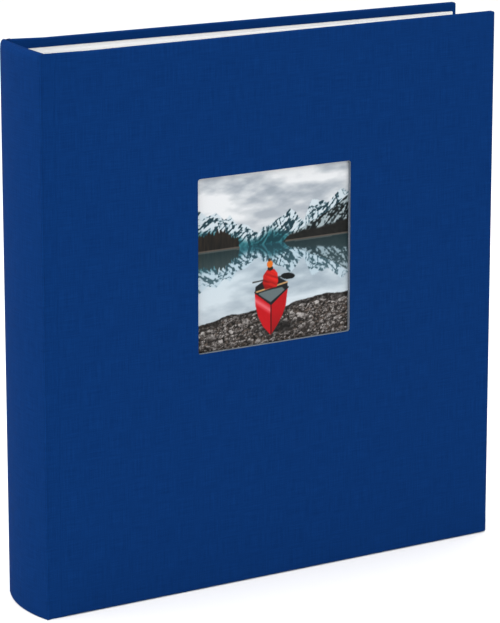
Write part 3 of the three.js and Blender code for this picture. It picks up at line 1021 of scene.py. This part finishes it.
def paint_banks(u, v, paint):
    slope = ridge(u, [(0.5, 0.53), (0.565, 0.58), (0.61, 0.612), (0.70, 0.640), (0.765, 0.675),
                      (0.86, 0.715), (0.985, 0.785), (1.1, 0.83)], 0.02, 51, 14)
    light = rock_light(u, v, 18, -0.7, 141)
    grain = lattice_noise(u * 0.6 - v * 1.1, v + u * 0.9, 44, 60, 53, 4)
    dark = shade((0.05, 0.08, 0.09), (0.26, 0.34, 0.36), 2.4 * grain - 0.8 + 0.3 * light)
    dark = cover_with(dark, (0.74, 0.79, 0.81),
                      0.8 * soft_step(0.3 * light + 3 * (grain - 0.5) - 0.32, 0.8))
    mound = ridge(u, [(0.5, 0.57), (0.56, 0.585), (0.61, 0.612), (0.70, 0.628), (0.80, 0.625),
                      (0.88, 0.64), (1.1, 0.665)], 0.015, 55)
    dark = cover_with(dark, shade((0.05, 0.06, 0.06), (0.15, 0.15, 0.14), grain),
                      soft_step(mound - v, 0.012))
    paint = cover_with(paint, dark, soft_step(slope - v, 0.006))
    teeth = np.abs(((u * 52 + lattice_noise(u, u, 20, 1, 65, 2)) % 1) - 0.5) * 0.035
    teeth = teeth + 0.05 * lattice_noise(u, u, 50, 1, 61, 2)
    bank = np.interp(u, [-0.1, 0.2, 0.27, 0.29], [0.655, 0.65, 0.62, 0.45]) + teeth - 0.01
    trunk = shade((0.04, 0.05, 0.05), (0.19, 0.16, 0.13), lattice_noise(u, v, 110, 12, 63, 2))
    paint = cover_with(paint, trunk, soft_step(bank - v, 0.006))
    shore = (np.abs(v - HORIZON - 0.004) < 0.004) * (np.abs(u - 0.43) > 0.15)
    return cover_with(paint, (0.45, 0.41, 0.38), 0.7 * shore)


def paint_land(u, v):
    """Sky, mountains and banks above the waterline."""
    paint = paint_sky(u, v)
    haze = np.clip((v - HORIZON) / 0.35, 0, 1)
    paint = cover_with(paint, (0.88, 0.89, 0.90), 0.45 - 0.45 * haze)
    return paint_banks(u, v, paint_far_mountains(u, v, paint))


def stones(u, v, size, seed):
    """Cell noise: a shade for each stone, the gap to its neighbour and its lit side."""
    gen = np.random.default_rng(seed)
    jitter, tone = gen.random((64, 64, 2)), gen.random((64, 64))
    x, y = u / size + 20, v / (0.62 * size) + 20
    i, j = np.floor(x).astype(int), np.floor(y).astype(int)
    first, second = np.full(u.shape, 9.0), np.full(u.shape, 9.0)
    color, lift = np.zeros(u.shape), np.zeros(u.shape)
    for a in (-1, 0, 1):
        for b in (-1, 0, 1):
            p, q = (i + a) % 64, (j + b) % 64
            dx, dy = i + a + jitter[p, q, 0] - x, j + b + jitter[p, q, 1] - y
            d = np.hypot(dx, dy)
            near = d < first
            second = np.where(near, first, np.minimum(second, d))
            color, lift = np.where(near, tone[p, q], color), np.where(near, -dy, lift)
            first = np.minimum(first, d)
    return color, second - first, lift


def paint_shore(u, v, paint):
    edge = ridge(u, [(-0.1, 0.13), (0.0, 0.15), (0.17, 0.186), (0.38, 0.20), (0.60, 0.202),
                     (0.68, 0.225), (0.82, 0.235), (1.1, 0.23)], 0.02, 71, 14)
    grain = lattice_noise(u, v, 90, 110, 79, 3)
    ground = shade((0.07, 0.06, 0.05), (0.46, 0.41, 0.38), 2 * grain - 0.6)
    for size, seed, least in ((0.017, 73, 0.35), (0.034, 75, 0.66), (0.075, 87, 0.80)):
        tone, gap, lift = stones(u + 0.01 * grain, v + 0.01 * grain, size, seed)
        pale = (tone - least) / (1 - least)
        stone = shade((0.17, 0.15, 0.14), (0.76, 0.74, 0.73),
                      0.12 + 0.55 * pale + 0.6 * lift + 1.1 * (grain - 0.5))
        ground = cover_with(ground, stone, (tone > least) * soft_step(gap - 0.16, 0.1))
        ground = cover_with(ground, (0.04, 0.035, 0.03),
                            0.7 * (tone > least) * soft_step(0.13 - gap, 0.1) * (lift < 0))
    wet = soft_step(v - edge + 0.02, 0.02)
    ground = ground * (1 - 0.45 * wet)[..., None]
    return cover_with(paint, ground, soft_step(edge - v, 0.004))


def paint_canoe(u, v, paint):
    red, deep = np.array((0.76, 0.05, 0.09)), np.array((0.40, 0.02, 0.04))
    dark, wood = np.array((0.09, 0.10, 0.11)), np.array((0.78, 0.62, 0.43))
    shadow = oval_mask(u, v, (0.53, 0.085), (0.12, 0.035), 0.8)
    paint = cover_with(paint, (0.05, 0.05, 0.05), 0.7 * shadow)
    inside = polygon_mask(u, v, [(0.381, 0.300), (0.485, 0.218), (0.600, 0.305), (0.590, 0.342),
                                 (0.540, 0.372), (0.440, 0.364), (0.385, 0.335)])
    paint = cover_with(paint, dark, inside)
    lining = polygon_mask(u, v, [(0.400, 0.288), (0.485, 0.234), (0.578, 0.294), (0.560, 0.312),
                                 (0.420, 0.302)])
    paint = cover_with(paint, (0.44, 0.50, 0.51), 0.85 * lining)
    left = polygon_mask(u, v, [(0.380, 0.303), (0.384, 0.228), (0.402, 0.162), (0.434, 0.098),
                               (0.486, 0.042), (0.487, 0.222)])
    right = polygon_mask(u, v, [(0.487, 0.222), (0.486, 0.042), (0.528, 0.095), (0.560, 0.145),
                                (0.585, 0.205), (0.598, 0.308)])
    gloss = shade(red, (0.93, 0.42, 0.45), 1.0 - 34 * np.abs(v + 0.7 * u - 0.525))
    paint = cover_with(paint, gloss, left)
    paint = cover_with(paint, shade(deep, red * 0.95, 1.2 - 3 * np.abs(v - 0.25)), right)
    stem = np.abs(u - 0.487) < 0.004
    paint = cover_with(paint, deep * 0.5, stem * np.maximum(left, right))
    rails = (((0.388, 0.296), (0.592, 0.330), dark), ((0.386, 0.303), (0.594, 0.338), wood),
             ((0.382, 0.303), (0.486, 0.221), dark), ((0.488, 0.221), (0.600, 0.307), dark))
    for a, b, tone in rails:
        paint = cover_with(paint, tone, line_mask(u, v, a, b, 0.0045))
    return paint


def paint_paddler(u, v, paint):
    """A figure seen from behind in a red jacket and an orange hat, with a paddle."""
    paint = cover_with(paint, (0.20, 0.19, 0.18),
                       line_mask(u, v, (0.368, 0.362), (0.570, 0.376), 0.004))
    paint = cover_with(paint, (0.05, 0.07, 0.08),
                       oval_mask(u, v + 0.1 * (u - 0.6), (0.598, 0.372), (0.046, 0.019)))
    coat = polygon_mask(u, v, [(0.446, 0.312), (0.524, 0.318), (0.534, 0.350), (0.529, 0.398),
                               (0.508, 0.424), (0.462, 0.424), (0.436, 0.395), (0.432, 0.350)])
    fold = lattice_noise(u * 0.5 + v, v, 60, 22, 81, 3)
    paint = cover_with(paint, shade((0.50, 0.03, 0.03), (0.90, 0.15, 0.12), 1.6 * fold - 0.2),
                       coat)
    paint = cover_with(paint, (0.13, 0.09, 0.08), oval_mask(u, v, (0.482, 0.430), (0.019, 0.014)))
    paint = cover_with(paint, (0.88, 0.45, 0.12), oval_mask(u, v, (0.479, 0.455), (0.020, 0.020)))
    return cover_with(paint, (0.30, 0.16, 0.08),
                      oval_mask(u, v, (0.477, 0.480), (0.008, 0.008), 0.5))


def paint_picture(u, v):
    ripple = 0.010 * (lattice_noise(u, v, 5, 60, 91, 3) - 0.5)
    mirrored = HORIZON + (HORIZON - v) * 1.02
    above = paint_land(u, np.maximum(v, HORIZON + 0.001))
    below = paint_land(u + ripple * 0.6, np.maximum(mirrored + ripple, HORIZON + 0.001))
    near = np.clip((HORIZON - v) / 0.4, 0, 1)
    below = below * np.array((0.88, 0.94, 0.97))
    below = cover_with(below, (0.07, 0.25, 0.29), 0.5 * (1 - below.mean(-1)) ** 2)
    below = cover_with(below, (0.85, 0.87, 0.89), 0.03 + 0.5 * near)
    paint = cover_with(above, below, soft_step(HORIZON - v, 0.003))
    paint = paint_shore(u, v, paint)
    return paint_paddler(u, v, paint_canoe(u, v, paint))


def to_linear(srgb):
    srgb = np.clip(srgb, 0, 1)
    return np.where(srgb <= 0.04045, srgb / 12.92, ((srgb + 0.055) / 1.055) ** 2.4)


def make_print():
    lo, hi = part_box("window_print")
    n = 300
    x, z = np.meshgrid(np.linspace(lo.x, hi.x, n + 1), np.linspace(lo.z, hi.z, n + 1))
    u = (x - JOINT_X - WINDOW[0]) / (WINDOW[1] - WINDOW[0])
    v = (z - WINDOW[2]) / (WINDOW[3] - WINDOW[2])
    tones = np.ones((x.size + 4, 4), np.float32)      # the face's points, then the back's
    tones[:x.size, :3] = to_linear(paint_picture(u, v)).reshape(-1, 3)
    tones[x.size:, :3] = 0.8
    front = np.stack([x.ravel(), np.full(x.size, lo.y), z.ravel()], -1)
    count = n + 1
    back_rim = [0, n, count * count - 1, count * n]
    vertices = np.concatenate([front, front[back_rim] + (0, hi.y - lo.y, 0)])
    faces = grid_faces(count, count)
    base = count * count
    sides = [list(range(0, count)), list(range(n, base, count)),
             list(range(base - 1, base - count - 1, -1)), list(range(n * count, -1, -count))]
    for k, side in enumerate(sides):
        faces.append(tuple(side[::-1]) + (base + k, base + (k + 1) % 4))
    faces.append((base, base + 3, base + 2, base + 1))
    obj = new_object("picture_print", vertices, faces, PRINT, smooth=False)
    face_outwards(obj)
    attribute = obj.data.attributes.new("picture", "FLOAT_COLOR", "POINT")
    attribute.data.foreach_set("color", tones.ravel())
    finish_piece(obj, "window_print", "front_cover", "window_print")


make_print()


# ------------------------ CAD nodes that stay

def repaint(material, *nodes):
    for node in nodes:
        mesh = frame["nodes"][node].data
        mesh.materials.clear()
        mesh.materials.append(material)


repaint(GREY_BOARD, "front_board", "back_board")
repaint(BACKING, "window_backing_card")
repaint(LEAF_CARD, "guard_block")
repaint(KRAFT, "spine_lining_paper")
repaint(GAUZE, "spine_gauze")
repaint(TAPE, "sewing_tape_1", "sewing_tape_2", "sewing_tape_3")


# ------------------------ floor and light

def make_stage():
    bpy.ops.mesh.primitive_plane_add(size=12, location=(0, 0, -0.4 * MM))
    floor = bpy.context.object
    floor.name = "floor"
    s = Surface("floor", (0.92, 0.92, 0.92), 0.6, Specular_IOR_Level=0.2)
    cloud = s.noise(s.add("TexCoord", out=3), 3.0, 2.0)
    s.base(s.mix(cloud, (0.91, 0.91, 0.91), (0.93, 0.93, 0.93)))
    floor.data.materials.append(s.material)


def area_light(name, place, target, size, power):
    data = bpy.data.lights.new(name, "AREA")
    data.shape = "RECTANGLE"
    data.size, data.size_y = size
    data.energy = power
    light = bpy.data.objects.new(name, data)
    bpy.context.collection.objects.link(light)
    light.location = place
    light.rotation_euler = (Vector(target) - Vector(place)).to_track_quat("-Z", "Y").to_euler()


make_stage()
world = bpy.data.worlds.new("studio")
bpy.context.scene.world = world
world.use_nodes = True
world.node_tree.nodes["Background"].inputs["Color"].default_value = (1, 1, 1, 1)
world.node_tree.nodes["Background"].inputs["Strength"].default_value = 0.85
MIDDLE = (0, 0, COVER_H / 2)
area_light("key", (-1.5, -1.1, 1.6), MIDDLE, (1.2, 1.2), 22)
area_light("fill", (0.9, -2.2, 1.0), MIDDLE, (1.6, 1.6), 18)
area_light("top", (0, 0.1, 2.2), MIDDLE, (2, 2), 34)
area_light("side", (-1.6, 1.4, 0.9), MIDDLE, (1, 1), 21)
bpy.context.scene.view_settings.view_transform = "Standard"
